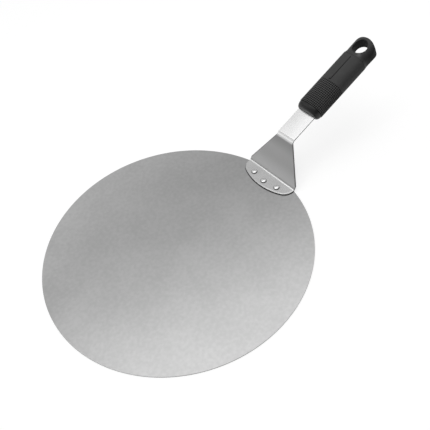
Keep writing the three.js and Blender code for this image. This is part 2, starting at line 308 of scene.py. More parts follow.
foot_start = Vector((bend_line - foot_bend_radius * math.tan(web_angle / 2), flange_top))
foot_centre = foot_start - foot_bend_radius * below(0)
web_start = foot_centre + foot_bend_radius * below(web_angle)
web_end = web_start + web_length * ahead(web_angle)
neck_centre = web_end + neck_bend_radius * below(web_angle)
strip_start = neck_centre - neck_bend_radius * below(strip_angle)
strip_end = strip_start + strip_length * ahead(strip_angle)
print("the strip meets the handle at x, z =", [round(value / MM, 1) for value in strip_end], "mm")

# %% [markdown]
# The blade is rolled stainless sheet with a blasted satin face. It shows no brush lines, only a very
# fine, even grain that spreads a reflection into a soft sheen, and a faint mottle of wide clouds and
# small patches where the sheet was handled. Its far side is painted a little paler, a painted
# reflection, and a dark line of painted shadow lies close round the flange. The walls of its sheared rim
# are painted dark as shade, and only their extra roughness is the real cut finish. Metal has no diffuse
# colour: its base colour tints what it reflects. So the mottle, the painted reflection and the painted
# shadow go into the base colour, the grain goes into a Bump node, and the clouds and the grain vary the
# roughness; the mottle and the grain work under any light. The painted shadow could be drawn on an
# image, but a mask by the distance from the flange's own outline stays sharp at any size.

# %% Satin steel of the blade
blade_grain_size = 0.5 * MM
blade_grain_height = 0.004 * MM
blade_cloud_size = 55 * MM
blade_patch_size = 4 * MM
mottle_cloud_share = 0.45
mottle_contrast = (0.3, 0.7)
blade_dark = 0.408
blade_bright = 0.469
far_side_start = 45 * MM
far_side_end = 150 * MM
# This gain paints the blade paler towards its far side: a painted reflection.
painted_reflection_gain = 1.17
blade_edge_slopes = (0.3, 0.7)
# Cut walls are painted this dark grey as shade; only their extra roughness is the real sheared finish.
sheared_shade_grey = grey(0.11)
# This grey is a painted shadow beside the flange's edge.
seam_shadow_grey = grey(0.1)
seam_width = 1.3 * MM
blade_roughness = 0.26
blade_cloud_roughness = 0.04
blade_grain_roughness = 0.04
sheared_roughness = 0.2


def past_flange(shader):
    """How far a point lies outside the flange's round edge; inside it the distance is negative."""
    place = shader.place()
    across = abs(shader.part(place, "Y"))
    folded = shader.node("ShaderNodeCombineXYZ", None, {"X": shader.part(place, "X"), "Y": across})
    from_front = folded.distance((front_arc_x, 0, 0)) - front_arc_radius
    from_corner = folded.distance((corner_x, corner_y, 0)) - flange_corner_radius
    tangent_y = front_arc_radius * math.sin(front_arc_meet)
    at_corner = across.ramp(tangent_y - seam_width, tangent_y + seam_width)
    return from_front + (from_corner - from_front) * at_corner


def flange_seam_shadow(shader):
    """1 on the blade right beside the flange's edge, where a dark line of painted shadow lies."""
    place = shader.place()
    before_rim = 1 - shader.part(place, "X").ramp(bend_line - 2 * seam_width, bend_line)
    on_top = shader.part(place, "Z").ramp(blade_thickness / 2, blade_thickness)
    return (1 - past_flange(shader).ramp(0, seam_width)) * before_rim * on_top


def blade_steel(shader):
    """Satin steel: mottle, painted reflection and shadow in the colour, grain in the bump, rim walls rough
    in painted shade.
    """
    grain = shader.noise(blade_grain_size, detail=3)
    clouds = shader.noise(blade_cloud_size, detail=4)
    patches = shader.noise(blade_patch_size, detail=4)
    mottle = clouds * mottle_cloud_share + patches * (1 - mottle_cloud_share)
    spots = mottle.ramp(*mottle_contrast)
    near_side = spots.blend(grey(blade_dark), grey(blade_bright))
    # A copy painted paler towards the far side, as a painted reflection.
    far_side = spots.blend(grey(blade_dark * painted_reflection_gain), grey(blade_bright * painted_reflection_gain))
    towards_far = shader.part(shader.place(), "Y").ramp(far_side_start, far_side_end)
    face = towards_far.blend(near_side, far_side)
    # The dark line beside the flange is a painted shadow.
    seam_shadowed = flange_seam_shadow(shader).blend(face, seam_shadow_grey)
    # The rim's walls are painted dark as shade.
    edge = shader.walls(*blade_edge_slopes)
    uneven = clouds * blade_cloud_roughness + grain * blade_grain_roughness
    return shader.principled(
        Base_Color=edge.blend(seam_shadowed, sheared_shade_grey),
        Metallic=1,
        Roughness=blade_roughness + uneven + edge * sheared_roughness,
        Normal=shader.bump(grain, blade_grain_height),
    )


blade_finish = finished_material("blade_satin_steel", blade_steel)

# %% [markdown]
# Painted light and shade on the bracket make it look like bent sheet. The folds shine by their own
# curve, and the web's greys add a painted reflection: bright by the folds, duller between them. The web's
# cut edges carry a line of painted shade, a ring of painted shade lies round each rivet's head, and a
# line of painted highlight runs along the flange's front edge. Each mark is a mask from 0 to 1 that is
# worked out from the places of the folds, the rivets and the outline. Painting them by hand would look
# the same, but wouldn't follow a change.

# %% Marks on the bracket
rivet_nodes = ["rivet_left", "rivet_middle", "rivet_right"]
rivet_head_radius = 3.5 * MM
foot_shade_width = 0.6 * MM
# This dark grey is painted shade round each rivet's foot, on the bracket and on the rivet.
foot_shade_grey = grey(0.2)
edge_highlight_width = 2.2 * MM
edge_highlight_reach = 24 * MM
# This near-white is a painted highlight along the flange's front edge.
edge_highlight_grey = grey(0.99)
web_edge_shade_width = 1.5 * MM
# This grey is painted shade along the web's cut edges.
edge_shade_grey = grey(0.27)
web_side_height = web_start.y + web_side_length * math.sin(web_angle)
web_neck_height = web_end.y
# Each tone is a height over the blade's underside and the web's painted reflection grey there, from the
# foot bend up.
web_reflection_tones = [
    (3.4 * MM, grey(0.46)),
    (5.6 * MM, grey(0.66)),
    (22 * MM, grey(0.49)),
    (28 * MM, grey(0.49)),
    (41.4 * MM, grey(0.36)),
    (43.1 * MM, grey(0.82)),
    (43.9 * MM, grey(0.82)),
    (45.3 * MM, grey(0.38)),
]


def rivet_axis(node):
    """Where a rivet stands, on the blade's underside."""
    low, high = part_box(node)
    return Vector(((low.x + high.x) / 2, (low.y + high.y) / 2, 0))


def rivet_foot_shade(shader):
    """1 under each rivet's head and in a ring of painted shade round it, and 0 elsewhere."""
    seat = Vector((0, 0, flange_top))
    left, middle, right = [shader.away(rivet_axis(node) + seat) for node in rivet_nodes]
    nearest = shader.math("MINIMUM", shader.math("MINIMUM", left, middle), right)
    return 1 - nearest.ramp(rivet_head_radius + foot_shade_width / 3, rivet_head_radius + foot_shade_width)


def web_reflection_tone(shader):
    """The web's grey, a painted reflection: bright by the foot fold, duller up to the neck, bright on the
    neck bend.
    """
    height = shader.part(shader.place(), "Z")
    start, tone = web_reflection_tones[0]
    for end, following in web_reflection_tones[1:]:
        tone = height.ramp(start, end).blend(tone, following)
        start = end
    return tone


def flange_edge_highlight(shader):
    """1 in a narrow line of painted highlight inside the flange's front edge, strongest on the right."""
    place = shader.place()
    on_flange = 1 - shader.part(place, "X").ramp(bend_line - 2 * edge_highlight_width, bend_line)
    to_right = 1 - shader.part(place, "Y").ramp(-edge_highlight_reach, edge_highlight_reach)
    line = past_flange(shader).ramp(-edge_highlight_width, -edge_highlight_width / 2)
    return line * on_flange * to_right


def web_edge_shade(shader):
    """1 in a narrow band along both cut edges of the web, where a line of painted shade lies."""
    place = shader.place()
    height = shader.part(place, "Z")
    taper = (flange_half_width - strip_half_width) / (web_neck_height - web_side_height)
    half_width = flange_half_width - (height - web_side_height) * taper
    inward = half_width - abs(shader.part(place, "Y"))
    over_foot = height.ramp(web_side_height / 2, web_side_height)
    over_neck = height.ramp(web_neck_height - web_edge_shade_width, web_neck_height)
    return (1 - inward.ramp(web_edge_shade_width / 3, web_edge_shade_width)) * (over_foot - over_neck)


print("the web's straight sides end", round(web_side_height / MM, 1), "mm up and its neck is",
      round(web_neck_height / MM, 1), "mm up")

# %% [markdown]
# The bracket is thicker sheet with a brighter mill finish: drawn through rolls along its length, it
# has short fine lines that run that way. Noise that is stretched along one axis gives such lines. The
# painted marks then go over the bare steel one after the other, the painted shade of the cut edges last.
# How steep a face is tells the web from the flange and the strip, and the cut edges from both.

# %% Mill steel of the bracket
roll_line_width = 0.16 * MM
roll_line_stretch = (14, 1, 14)
roll_line_height = 0.001 * MM
bracket_cloud_size = blade_cloud_size / 3
bracket_contrast = (0.3, 0.7)
bracket_dark = grey(0.69)
bracket_bright = grey(0.73)
web_slopes = (0.57, 0.93)
cut_slopes = (0.44, 0.5)
bracket_roughness = 0.2
bracket_cloud_roughness = 0.03
roll_line_roughness = 0.01
web_roughness = 0.1
cut_roughness = 0.3


def bracket_steel(shader):
    """Mill steel: fine lines along the sheet, then its painted light and shade, then the cut edges in
    painted shade.
    """
    lines = shader.noise(roll_line_width, detail=3, stretch=roll_line_stretch)
    clouds = shader.noise(bracket_cloud_size, detail=3)
    bare = clouds.ramp(*bracket_contrast).blend(bracket_dark, bracket_bright)
    web = shader.walls(*web_slopes)
    # Painted reflection on the web, painted shade on its edges and round the rivets, a painted highlight.
    pressed = web.blend(bare, web_edge_shade(shader).blend(web_reflection_tone(shader), edge_shade_grey))
    painted_highlight = flange_edge_highlight(shader).blend(pressed, edge_highlight_grey)
    face = rivet_foot_shade(shader).blend(painted_highlight, foot_shade_grey)
    # The cut edges are painted dark as shade; their extra roughness is real.
    cut = shader.walls(*cut_slopes)
    uneven = clouds * bracket_cloud_roughness + lines * roll_line_roughness
    return shader.principled(
        Base_Color=cut.blend(face, sheared_shade_grey),
        Metallic=1,
        Roughness=bracket_roughness + uneven + web * web_roughness + cut * cut_roughness,
        Normal=shader.bump(lines, roll_line_height),
    )


bracket_finish = finished_material("bracket_mill_steel", bracket_steel)

# %% [markdown]
# The rivets are pressed and then tumbled with small stones, so they are smoother and brighter than the
# sheet, with faint round dents. The foot of each dome is painted dark as shade. It could be a dark ring
# of its own, but one mask by the distance from the head's middle fades as softly as real shade.

# %% Tumbled steel of the rivets
dent_size = 0.8 * MM
dent_height = 0.01 * MM
dent_contrast = (0.2, 0.8)
dent_roughness = 0.1
rivet_dark = grey(0.66)
rivet_bright = grey(0.74)
rivet_roughness = 0.16
rivet_rim_start = 2.6 * MM
rivet_rim_end = 3.8 * MM


def rivet_steel(shader):
    """Tumbled steel: faint dents, and painted shade at the foot of the dome."""
    dents = shader.noise(dent_size, detail=2)
    struck = dents.ramp(*dent_contrast).blend(rivet_dark, rivet_bright)
    # The foot of the dome is painted dark as shade.
    rim = shader.away(Vector((0, 0, flange_top))).ramp(rivet_rim_start, rivet_rim_end)
    return shader.principled(
        Base_Color=rim.blend(struck, foot_shade_grey),
        Metallic=1,
        Roughness=rivet_roughness + dents * dent_roughness,
        Normal=shader.bump(dents, dent_height),
    )


rivet_finish = finished_material("rivet_tumbled_steel", rivet_steel)

# %% [markdown]
# Pieces are made from plain lists of points and faces, and then worked on by modifiers, as a smith
# works a blank: solidify gives sheet its thickness, bevel breaks its edges, boolean drills it. What the
# modifiers do is made part of the mesh at the end, so that each piece is one plain mesh.

# %% Making and working a piece
edge_angle = math.radians(35)


def new_piece(name, points, faces, place=None):
    """A piece of these points and faces; place, where it is given, moves it from its own frame."""
    mesh = bpy.data.meshes.new(name)
    mesh.from_pydata([tuple(point) for point in points], [], faces)
    piece = bpy.data.objects.new(name, mesh)
    bpy.context.scene.collection.objects.link(piece)
    if place is not None:
        piece.matrix_world = place
    return piece


def work(piece, kind, **settings):
    """Adds one modifier to a piece."""
    modifier = piece.modifiers.new(kind.lower(), kind)
    for name, value in settings.items():
        setattr(modifier, name, value)


def settle(piece):
    """Makes what the modifiers do part of the mesh."""
    bpy.context.view_layer.update()
    graph = bpy.context.evaluated_depsgraph_get()
    made = bpy.data.meshes.new_from_object(piece.evaluated_get(graph))
    piece.modifiers.clear()
    piece.data = made


def drill(piece, cutters):
    """Cuts the cutters out of a piece and throws them away."""
    for cutter in cutters:
        work(piece, "BOOLEAN", operation="DIFFERENCE", object=cutter, solver="EXACT")
    settle(piece)
    for cutter in cutters:
        bpy.data.objects.remove(cutter)


def break_edges(piece, width, steps=2):
    """Rounds a piece's sharp edges by a width."""
    work(piece, "BEVEL", width=width, segments=steps, limit_method="ANGLE", angle_limit=edge_angle)
    settle(piece)


def smooth(piece):
    """Shades a piece softly, but keeps its sharp edges and its flat faces."""
    piece.data.shade_smooth()
    piece.data.set_sharp_from_angle(angle=edge_angle)
    work(piece, "WEIGHTED_NORMAL", keep_sharp=True)
    settle(piece)


def finish_piece(piece, node, material):
    """Gives a piece its material, hangs it under the root body, hides the CAD node it stands for and
    prints both boxes.
    """
    piece.data.materials.clear()
    piece.data.materials.append(material)
    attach(piece, "root")
    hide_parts(node)
    corners = [piece.matrix_world @ vertex.co for vertex in piece.data.vertices]
    low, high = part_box(node)
    for axis, letter in enumerate("XYZ"):
        least = min(corner[axis] for corner in corners)
        most = max(corner[axis] for corner in corners)
        print(f"{piece.name} {letter}: {least / MM:.2f} to {most / MM:.2f} mm,",
              f"the frame's {low[axis] / MM:.2f} to {high[axis] / MM:.2f}")


print("an edge is sharp from", round(math.degrees(edge_angle)), "degrees on")

# %% [markdown]
# A turned piece is a profile of radius and height points spun round an upright axis. One function
# makes the cutters for round holes and the rivets, and the hanging hole's cutter too, because a turned
# form can be stretched along one axis afterwards.

# %% Turning
def ring_faces(rings, count, closed_ends=True):
    """Faces between rings of points that follow each other, with the ends closed by one face each."""
    faces = []
    for ring in range(rings - 1):
        for index in range(count):
            following = (index + 1) % count
            low, high = ring * count, (ring + 1) * count
            faces.append((low + index, low + following, high + following, high + index))
    if closed_ends:
        faces.append(tuple(reversed(range(count))))
        faces.append(tuple(range((rings - 1) * count, rings * count)))
    return faces


def turned(name, profile, count, place=None, stretch=1):
    """Spins a profile, given from its lowest point to its highest, round Z."""
    points = []
    for radius, height in profile:
        for index in range(count):
            angle = 2 * math.pi * index / count
            points.append((stretch * radius * math.cos(angle), radius * math.sin(angle), height))
    return new_piece(name, points, ring_faces(len(profile), count), place)


print("a turned ring of 4 points and 2 rings has", len(ring_faces(2, 4)), "faces")

# %% [markdown]
# The blade is one disc of 1 mm sheet. Its outline is a single flat face, solidify gives it its
# thickness downwards, and a fine bevel stands for the deburred rim, which catches a thin line of
# light. Three countersunk holes take the rivets' tails from below.

# %% Blade
blade_rim_points = 256
deburred_edge = 0.15 * MM
rivet_shank_radius = 1.6 * MM
rivet_tail_radius = 2.3 * MM
rivet_tail_depth = 0.6 * MM
rivet_clearance = 0.2 * MM
round_points = 32
overrun = 3 * MM


def make_blade():
    """The blade: a flat disc, thickened, deburred and drilled."""
    angles = [2 * math.pi * index / blade_rim_points for index in range(blade_rim_points)]
    rim = [
        (blade_radius * math.cos(angle), blade_radius * math.sin(angle), blade_thickness)
        for angle in angles
    ]
    blade = new_piece("blade_sheet", rim, [tuple(range(blade_rim_points))])
    work(blade, "SOLIDIFY", thickness=blade_thickness)
    break_edges(blade, deburred_edge)
    slope = (rivet_tail_radius - rivet_shank_radius) / rivet_tail_depth
    profile = [
        (rivet_tail_radius + rivet_clearance + slope * overrun, -overrun),
        (rivet_shank_radius + rivet_clearance, rivet_tail_depth),
        (rivet_shank_radius + rivet_clearance, blade_thickness + overrun),
    ]
    cutters = [
        turned("cutter", profile, round_points, Matrix.Translation(rivet_axis(node)))
        for node in rivet_nodes
    ]
    drill(blade, cutters)
    smooth(blade)
    finish_piece(blade, "blade", blade_finish)
    return blade


blade = make_blade()
print("the blade has", len(blade.data.polygons), "faces")

# %% [markdown]
# The handle has a frame of its own: X runs along it from the nose, Y across it, and Z square to it,
# with its origin in the middle of the sheet where the strip goes into the nose. A matrix that holds
# these three directions and the origin turns points of that frame into the peel's frame.

# %% The handle's frame
handle_origin = strip_end + sheet_thickness / 2 * below(strip_angle)
handle_along = ahead(strip_angle)
handle_up = -below(strip_angle)
handle_frame = Matrix((
    (handle_along.x, 0, handle_up.x, handle_origin.x),
    (0, 1, 0, 0),
    (handle_along.y, 0, handle_up.y, handle_origin.y),
    (0, 0, 0, 1),
))
print("the handle rises at", round(math.degrees(strip_angle), 1), "degrees")

# %% [markdown]
# Now the blank's outline: the flange's front edge is one wide arc that meets a rounded corner on each
# side, and the tang ends in two round corners. An arc is a few points worked out from its centre. The
# flat stretches are one face each, the bends are rows of narrow faces, and solidify makes the sheet
# 1.5 mm thick. The sheet could be folded by a modifier from a flat blank, but rows of points that follow
# the folded line put each bend exactly where the CAD model has it.

# %% Bracket
tang_half_width = 8 * MM
tang_length = 73.1 * MM
tang_end_radius = 5 * MM
anchor_hole_radius = 4 * MM
anchor_shares = (0.42, 0.78)
corner_arc_steps = 14
front_arc_steps = 48
handle_way, left_way, blade_way, right_way = 0, 90, 180, 270


def arc(centre_x, centre_y, radius, start, end, steps):
    """Points on an arc, both its ends among them; its angles are in degrees from the handle's way."""
    angles = [math.radians(start + (end - start) * step / steps) for step in range(steps + 1)]
    return [(centre_x + radius * math.cos(a), centre_y + radius * math.sin(a)) for a in angles]


def flange_edge():
    """The flange's edge seen from above, from its left side round the front to its right side."""
    meet = math.degrees(front_arc_meet)
    start, end = blade_way - meet, blade_way + meet
    left = arc(corner_x, corner_y, flange_corner_radius, left_way, start, corner_arc_steps)
    middle = arc(front_arc_x, 0, front_arc_radius, start, end, front_arc_steps)
    right = arc(corner_x, -corner_y, flange_corner_radius, end, right_way, corner_arc_steps)
    return left + middle[1:-1] + right


def folded_rows():
    """Rows across the sheet's top face from the foot bend to the handle: a place and a half width."""
    shares = [row / bend_rows for row in range(bend_rows + 1)]
    foot = [foot_centre + foot_bend_radius * below(share * web_angle) for share in shares]
    turn = strip_angle - web_angle
    neck = [neck_centre - neck_bend_radius * below(web_angle + share * turn) for share in shares]
    rows = [(place, flange_half_width) for place in foot]
    rows.append((web_start + web_side_length * ahead(web_angle), flange_half_width))
    rows += [(place, strip_half_width) for place in neck]
    return rows


def tang_points():
    """The tang's edge from its right root to its left root, in the peel's frame."""
    x = tang_length - tang_end_radius
    y = tang_half_width - tang_end_radius
    edge = arc(x, -y, tang_end_radius, -left_way, handle_way, corner_arc_steps)
    edge += arc(x, y, tang_end_radius, handle_way, left_way, corner_arc_steps)
    top = sheet_thickness / 2
    root = [(-seat_gap, -tang_half_width), *edge, (-seat_gap, tang_half_width)]
    return [handle_frame @ Vector((x, y, top)) for x, y in root]


def bracket_skin():
    """The points and faces of the sheet's top side: bends, web, strip, flange, shoulder and tang."""
    points = []
    for place, half in folded_rows():
        points += [(place.x, -half, place.y), (place.x, half, place.y)]
    faces = [(row, row + 2, row + 3, row + 1) for row in range(0, len(points) - 2, 2)]
    last_right, last_left = len(points) - 2, len(points) - 1
    edge = flange_edge()
    faces.append((0, 1, *range(len(points), len(points) + len(edge))))
    points += [(x, y, flange_top) for x, y in edge]
    end = strip_end - seat_gap * ahead(strip_angle)
    shoulder_right, shoulder_left = len(points), len(points) + 1
    points += [(end.x, -strip_half_width, end.y), (end.x, strip_half_width, end.y)]
    tang = tang_points()
    root_right, root_left = len(points), len(points) + len(tang) - 1
    points += tang
    faces.append((last_right, shoulder_right, root_right, root_left, shoulder_left, last_left))
    faces.append(tuple(range(root_right, root_left + 1)))
    return points, faces


def anchor_place(share):
    """Where a hole in the tang is, in the handle's frame, at a share of the tang's length."""
    return Matrix.Translation((share * tang_length, 0, 0))


def bracket_cutters():
    """Rods for the three rivet holes in the flange and the two holes in the tang."""
    shank = rivet_shank_radius + rivet_clearance
    rod = [(shank, -overrun), (shank, flange_top + overrun)]
    anchor = [(anchor_hole_radius, -overrun), (anchor_hole_radius, overrun)]
    places = [(rod, Matrix.Translation(rivet_axis(node))) for node in rivet_nodes]
    places += [(anchor, handle_frame @ anchor_place(share)) for share in anchor_shares]
    return [turned("cutter", profile, round_points, place) for profile, place in places]


def make_bracket():
    """The bracket: the folded skin, thickened, deburred and drilled."""
    bracket = new_piece("bracket_sheet", *bracket_skin())
    work(bracket, "SOLIDIFY", thickness=sheet_thickness, use_even_offset=True)
    break_edges(bracket, deburred_edge)
    drill(bracket, bracket_cutters())
    smooth(bracket)
    finish_piece(bracket, "bracket", bracket_finish)
    return bracket


bracket = make_bracket()
print("the bracket has", len(bracket.data.polygons), "faces")

# %% [markdown]
# A rivet's head is a low dome with a small flat where the set struck it. Its tail fills the countersink
# and is ground flush. The profile is spun, and the three rivets are three pieces.

# %% Rivets
rivet_head_height = 1.7 * MM
rivet_wall_height = 0.4 * MM
rivet_flat_share = 0.02
rivet_dome_steps = 14


def rivet_profile():
    """Radius and height points from the tail's flush end to the flat on the dome."""
    profile = [
        (rivet_tail_radius, 0),
        (rivet_shank_radius, rivet_tail_depth),
        (rivet_shank_radius, flange_top),
        (rivet_head_radius, flange_top),
    ]
    dome_height = rivet_head_height - rivet_wall_height
    for step in range(rivet_dome_steps):
        angle = math.pi / 2 * step / rivet_dome_steps
        height = flange_top + rivet_wall_height + dome_height * math.sin(angle)
        profile.append((rivet_head_radius * math.cos(angle), height))
    profile.append((rivet_head_radius * rivet_flat_share, flange_top + rivet_head_height))
    return profile


def make_rivet(node):
    """One rivet, spun on its own axis."""
    place = Matrix.Translation(rivet_axis(node))
    rivet = turned(node + "_fine", rivet_profile(), 2 * round_points, place)
    smooth(rivet)
    finish_piece(rivet, node, rivet_finish)
    return rivet


rivets = [make_rivet(node) for node in rivet_nodes]
print(len(rivets), "rivets of", len(rivets[0].data.polygons), "faces each")

# %% [markdown]
# The handle's sections are ovals drawn out towards a box, which a superellipse gives: a power of 2 is
# an ellipse, and a higher one squarer. One function gives a section's points for a list of angles, so
# that the core and the sleeve keep the same form, and a list of sections becomes a skin.

# %% Handle sections
handle_rise = 0.3 * MM
section_power = 2.5


def power(value, exponent):
    """Keeps the sign of what it raises to a power."""
    return math.copysign(abs(value) ** exponent, value)


def section(along, width, top, bottom, drop, angles):
    """A section square to the handle, widest at the drop below the handle's axis."""
    points = []
    for angle in angles:
        side = power(math.cos(angle), 2 / section_power)
        rise = power(math.sin(angle), 2 / section_power)
        height = top + drop if rise > 0 else bottom - drop
        points.append(Vector((along, side * width / 2, handle_rise - drop + rise * height)))
    return points


def mix(first, second, share):
    """The value a share of the way from the first to the second."""
    return first + (second - first) * share


print("a section has its widest points", round(handle_rise / MM, 1), "mm over the tang's middle")

# %% [markdown]
# The core is one moulding: the nose, the slimmer body under the sleeve, and the loop with the hanging
# hole. These are its sizes and the sleeve's, the same as on the CAD drawing, because a piece that
# stands for a CAD node has to fill the same space.

# %% The handle's sizes
nose_length = 7.1 * MM
nose_round_length = 6.5 * MM
nose_face_width = 25.6 * MM
nose_face_height = 8.4 * MM
nose_width = 31.1 * MM
nose_height = 23.2 * MM
nose_rim_inset = 0.9 * MM
grip_length = 75.5 * MM
grip_front_width = 32.3 * MM
grip_front_height = 23.8 * MM
grip_rear_width = 31.9 * MM
grip_rear_height = 24.4 * MM
grip_wall = 2 * MM
grip_start = nose_length + seat_gap
grip_end = grip_start + grip_length
tail_start = grip_end + seat_gap
tail_length = 30 * MM
tail_end = tail_start + tail_length
tail_neck_width = 30.4 * MM
tail_neck_length = 5 * MM
tail_width = 30.8 * MM
tail_drop = 2.4 * MM
tail_top_height = 12.4 * MM
tail_bottom_height = 10 * MM
tail_edge_inset = 3.6 * MM
hole_width = 17.6 * MM
hole_front_wall = 4.3 * MM
hole_end_wall = 6.4 * MM
hole_length = tail_length - hole_front_wall - hole_end_wall
hole_middle = tail_start + hole_front_wall + hole_length / 2
hole_draft = math.radians(4)
hole_waist_depth = 13.1 * MM
hole_flare = math.radians(40)
print("the handle is", round(tail_end / MM, 1), "mm long")

# %% [markdown]
# The handle's core is hard moulded plastic. Its steel mould was lightly blasted, so it is black with a
# soft gloss and a fine grain. The hole's wall and the loop's sides are rougher, and their colour is
# painted darker as shade, and one small spot before the hole carries a painted highlight. Black plastic
# is never quite black: its base colour is about 2 to 4 hundredths, and what the eye reads is its gloss.
# Each of these places is a mask by where it lies in the handle's frame, so the finish needs no seams and
# no image.

# %% Moulded plastic of the core
core_grain_size = 0.35 * MM
core_grain_height = 0.012 * MM
core_wear_size = 9 * MM
core_wear_contrast = (0.35, 0.75)
core_specular = 0.25
nose_grey = grey(0.016)
loop_dark = grey(0.034)
loop_bright = grey(0.042)
# The loop's sides and the hole's wall are painted darker as shade.
loop_side_shade_grey = grey(0.014)
loop_side_slopes = (0.3, 0.8)
hole_shade_grey = grey(0.023)
hole_rim_inside = 0.1 * MM
hole_rim_outside = 0.4 * MM
# The spot before the hole is a painted highlight.
painted_highlight_place = (87.2 * MM, -6.9 * MM, 11.8 * MM)
painted_highlight_radius = 3.5 * MM
painted_highlight_grey = grey(0.095)
nose_roughness = 0.3
loop_roughness = 0.04
core_wear_roughness = 0.14
hole_wall_roughness = 0.3
loop_side_roughness = 0.4


def hole_wall(shader):
    """1 inside the hanging hole and 0 outside its rim."""
    place = shader.place()
    along = (shader.part(place, "X") - hole_middle) * (hole_width / hole_length)
    across = shader.part(place, "Y")
    reach = shader.math("SQRT", along * along + across * across)
    return 1 - reach.ramp(hole_width / 2 - hole_rim_inside, hole_width / 2 + hole_rim_outside)


def loop_side(shader):
    """1 on the loop's upright sides, outside the hole."""
    on_loop = shader.part(shader.place(), "X").ramp(tail_start - tail_neck_length, hole_middle)
    return on_loop * shader.walls(*loop_side_slopes) * (1 - hole_wall(shader))


def core_plastic(shader):
    """Moulded plastic: fine grain, worn in clouds behind the nose, rougher and in painted shade in the
    hole and beside it, with a painted highlight before the hole.
    """
    grain = shader.noise(core_grain_size, detail=2)
    wear = shader.noise(core_wear_size, detail=3)
    wall = hole_wall(shader)
    side = loop_side(shader)
    behind_nose = shader.part(shader.place(), "X").ramp(nose_length, 2 * nose_length)
    # The loop's sides are painted darker as shade.
    loop = side.blend(wear.ramp(*core_wear_contrast).blend(loop_dark, loop_bright), loop_side_shade_grey)
    # A painted highlight just before the hole.
    painted_highlight = 1 - shader.away(painted_highlight_place).ramp(0, painted_highlight_radius)
    face = painted_highlight.blend(behind_nose.blend(nose_grey, loop), painted_highlight_grey)
    worn = behind_nose * (loop_roughness + wear * core_wear_roughness)
    dull = wall * hole_wall_roughness + side * loop_side_roughness
    # The hole's wall is painted darker as shade.
    return shader.principled(
        Base_Color=wall.blend(face, hole_shade_grey),
        Roughness=nose_roughness + worn + dull,
        Specular_IOR_Level=core_specular,
        Normal=shader.bump(grain, core_grain_height),
    )


core_finish = finished_material("core_moulded_plastic", core_plastic)

# %% [markdown]
# The core is lofted through the same sections as the CAD solid, only closer together: round the nose,
# in under the sleeve, and out again into the tail, whose neck droops in a smooth curve. A loft is used
# because the moulding swells and droops at once, which no turned or pushed-out form does.

# %% Sections of the core
core_points = 96
core_angles = [2 * math.pi * index / core_points for index in range(core_points)]
nose_steps = 14
neck_steps = 8


def grip_section(along, inset, angles):
    """The sleeve's outer section at a place along the handle, drawn in by an inset."""
    share = (along - grip_start) / grip_length
    width = mix(grip_front_width, grip_rear_width, share) - 2 * inset
    half_height = mix(grip_front_height, grip_rear_height, share) / 2 - inset
    return section(along, width, half_height, half_height, 0, angles)


def nose_sections():
    """The rounded nose and the small step in to its rim, which makes a groove before the sleeve."""
    sections = []
    for step in range(nose_steps + 1):
        angle = math.pi / 2 * step / nose_steps
        width = mix(nose_face_width, nose_width, math.sin(angle))
        half_height = mix(nose_face_height, nose_height, math.sin(angle)) / 2
        along = nose_round_length * (1 - math.cos(angle))
        sections.append(section(along, width, half_height, half_height, 0, core_angles))
    width = nose_width - 2 * nose_rim_inset
    half_height = nose_height / 2 - nose_rim_inset
    sections.append(section(nose_length, width, half_height, half_height, 0, core_angles))
    return sections


def tail_sections():
    """The tail's neck, which goes over from the sleeve's section to the loop's, and the loop."""
    sections = []
    for step in range(neck_steps + 1):
        share = step / neck_steps
        eased = share * share * (3 - 2 * share)
        width = mix(grip_rear_width, tail_neck_width, eased)
        top = mix(grip_rear_height / 2, tail_top_height, eased)
        bottom = mix(grip_rear_height / 2, tail_bottom_height, eased)
        along = tail_start + share * tail_neck_length
        sections.append(section(along, width, top, bottom, eased * tail_drop, core_angles))
    loop = (tail_width, tail_top_height, tail_bottom_height, tail_drop, core_angles)
    sections += [section(along, *loop) for along in (hole_middle, tail_end + overrun)]
    return sections


def core_sections():
    """All the core's sections, from the nose to past the tail's end."""
    body_inset = grip_wall + seat_gap
    body = [grip_section(along, body_inset, core_angles) for along in (nose_length, tail_start)]
    return nose_sections() + body + tail_sections()


print("the core has", len(core_sections()), "sections of", core_points, "points")

# %% [markdown]
# Four more forms finish the core. A block trims the tail to its round end, whose top edge is rounded
# over. The hanging hole is a turned form, drawn out along the handle: it narrows a little downwards,
# as a mould needs, and flares out below its waist. The slot takes the tang, and two posts are the
# plastic that ran through the tang's holes and holds it.

# %% Trim, hole, slot and posts
trim_steps = 10
trim_arc_steps = 48


def tail_trim():
    """A block that keeps the core up to the hole's middle, and past it only the tail's round end."""
    end_middle = tail_end - tail_width / 2
    level = handle_rise - tail_drop
    rings = [(level - grip_rear_height, 0)]
    for step in range(trim_steps + 1):
        angle = math.pi / 2 * step / trim_steps
        height = (tail_top_height + tail_drop) * math.sin(angle)
        rings.append((level + height, tail_edge_inset * (1 - math.cos(angle))))
    points = []
    for height, inset in rings:
        radius = tail_width / 2 - inset
        edge = [(-overrun, -grip_rear_width), (hole_middle, -grip_rear_width), (hole_middle, -radius)]
        edge += arc(end_middle, 0, radius, -left_way, left_way, trim_arc_steps)
        edge += [(hole_middle, radius), (hole_middle, grip_rear_width), (-overrun, grip_rear_width)]
        points += [(x, y, height) for x, y in edge]
    return new_piece("trim", points, ring_faces(len(rings), len(edge)), handle_frame)


def hanging_hole():
    """The hole's cutter: it narrows a little down to its waist and flares out widely below it."""
    reach = grip_rear_height
    waist_height = handle_rise + tail_top_height - hole_waist_depth
    waist = hole_width / 2 - hole_waist_depth * math.tan(hole_draft)
    profile = [
        (waist + reach * math.tan(hole_flare), waist_height - reach),
        (waist, waist_height),
        (waist + reach * math.tan(hole_draft), waist_height + reach),
    ]
    place = handle_frame @ Matrix.Translation((hole_middle, 0, 0))
    print("the hole's waist is", round(2 * waist / MM, 1), "mm wide")
    return turned("cutter", profile, len(core_angles), place, stretch=hole_length / hole_width)


